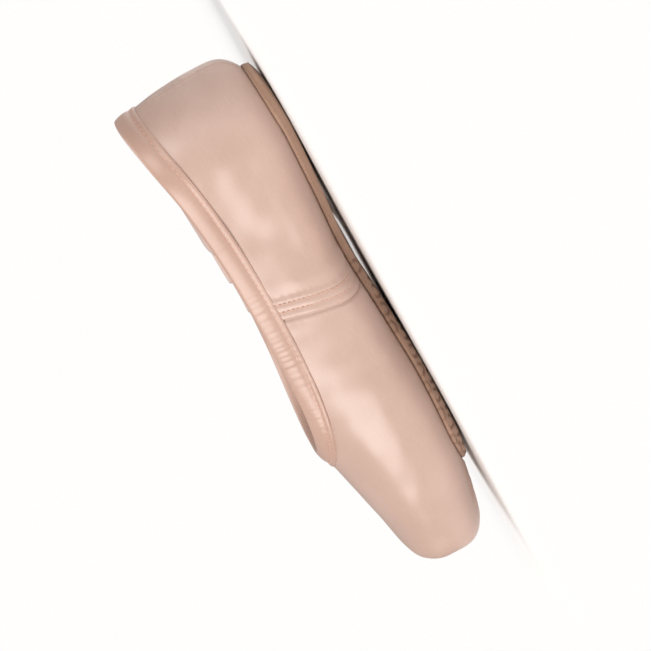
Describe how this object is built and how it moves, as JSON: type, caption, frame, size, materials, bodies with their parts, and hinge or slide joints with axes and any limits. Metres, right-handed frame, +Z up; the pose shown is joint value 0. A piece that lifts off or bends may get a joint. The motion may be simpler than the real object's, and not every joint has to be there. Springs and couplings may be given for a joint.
{
  "type": "pointe shoe",
  "caption": "Ballet pointe shoe in peach satin with a flat-ended toe box, bound collar, leather outsole and two loose ankle ribbons.",
  "frame": {"origin": "on the floor under the middle of the shoe's length and width, ribbons left out", "axes": "+Z up from the floor, +Y from the toe towards the heel, +X to the shoe's left side"},
  "size_m": [0.2172, 0.2411, 0.0598],
  "materials": {
    "satin": "peach satin, soft sheen",
    "binding_satin": "folded satin strip",
    "sole_leather": "matt, embossed at the forefoot",
    "lining": "plain cotton",
    "ribbon": "satin ribbon, low sheen"
  },
  "bodies": {
    "root": {"upper": "satin", "outsole": "sole_leather", "insole": "lining", "collar_binding": "binding_satin", "ribbon_left": "ribbon", "ribbon_right": "ribbon"}
  },
  "joints": []
}
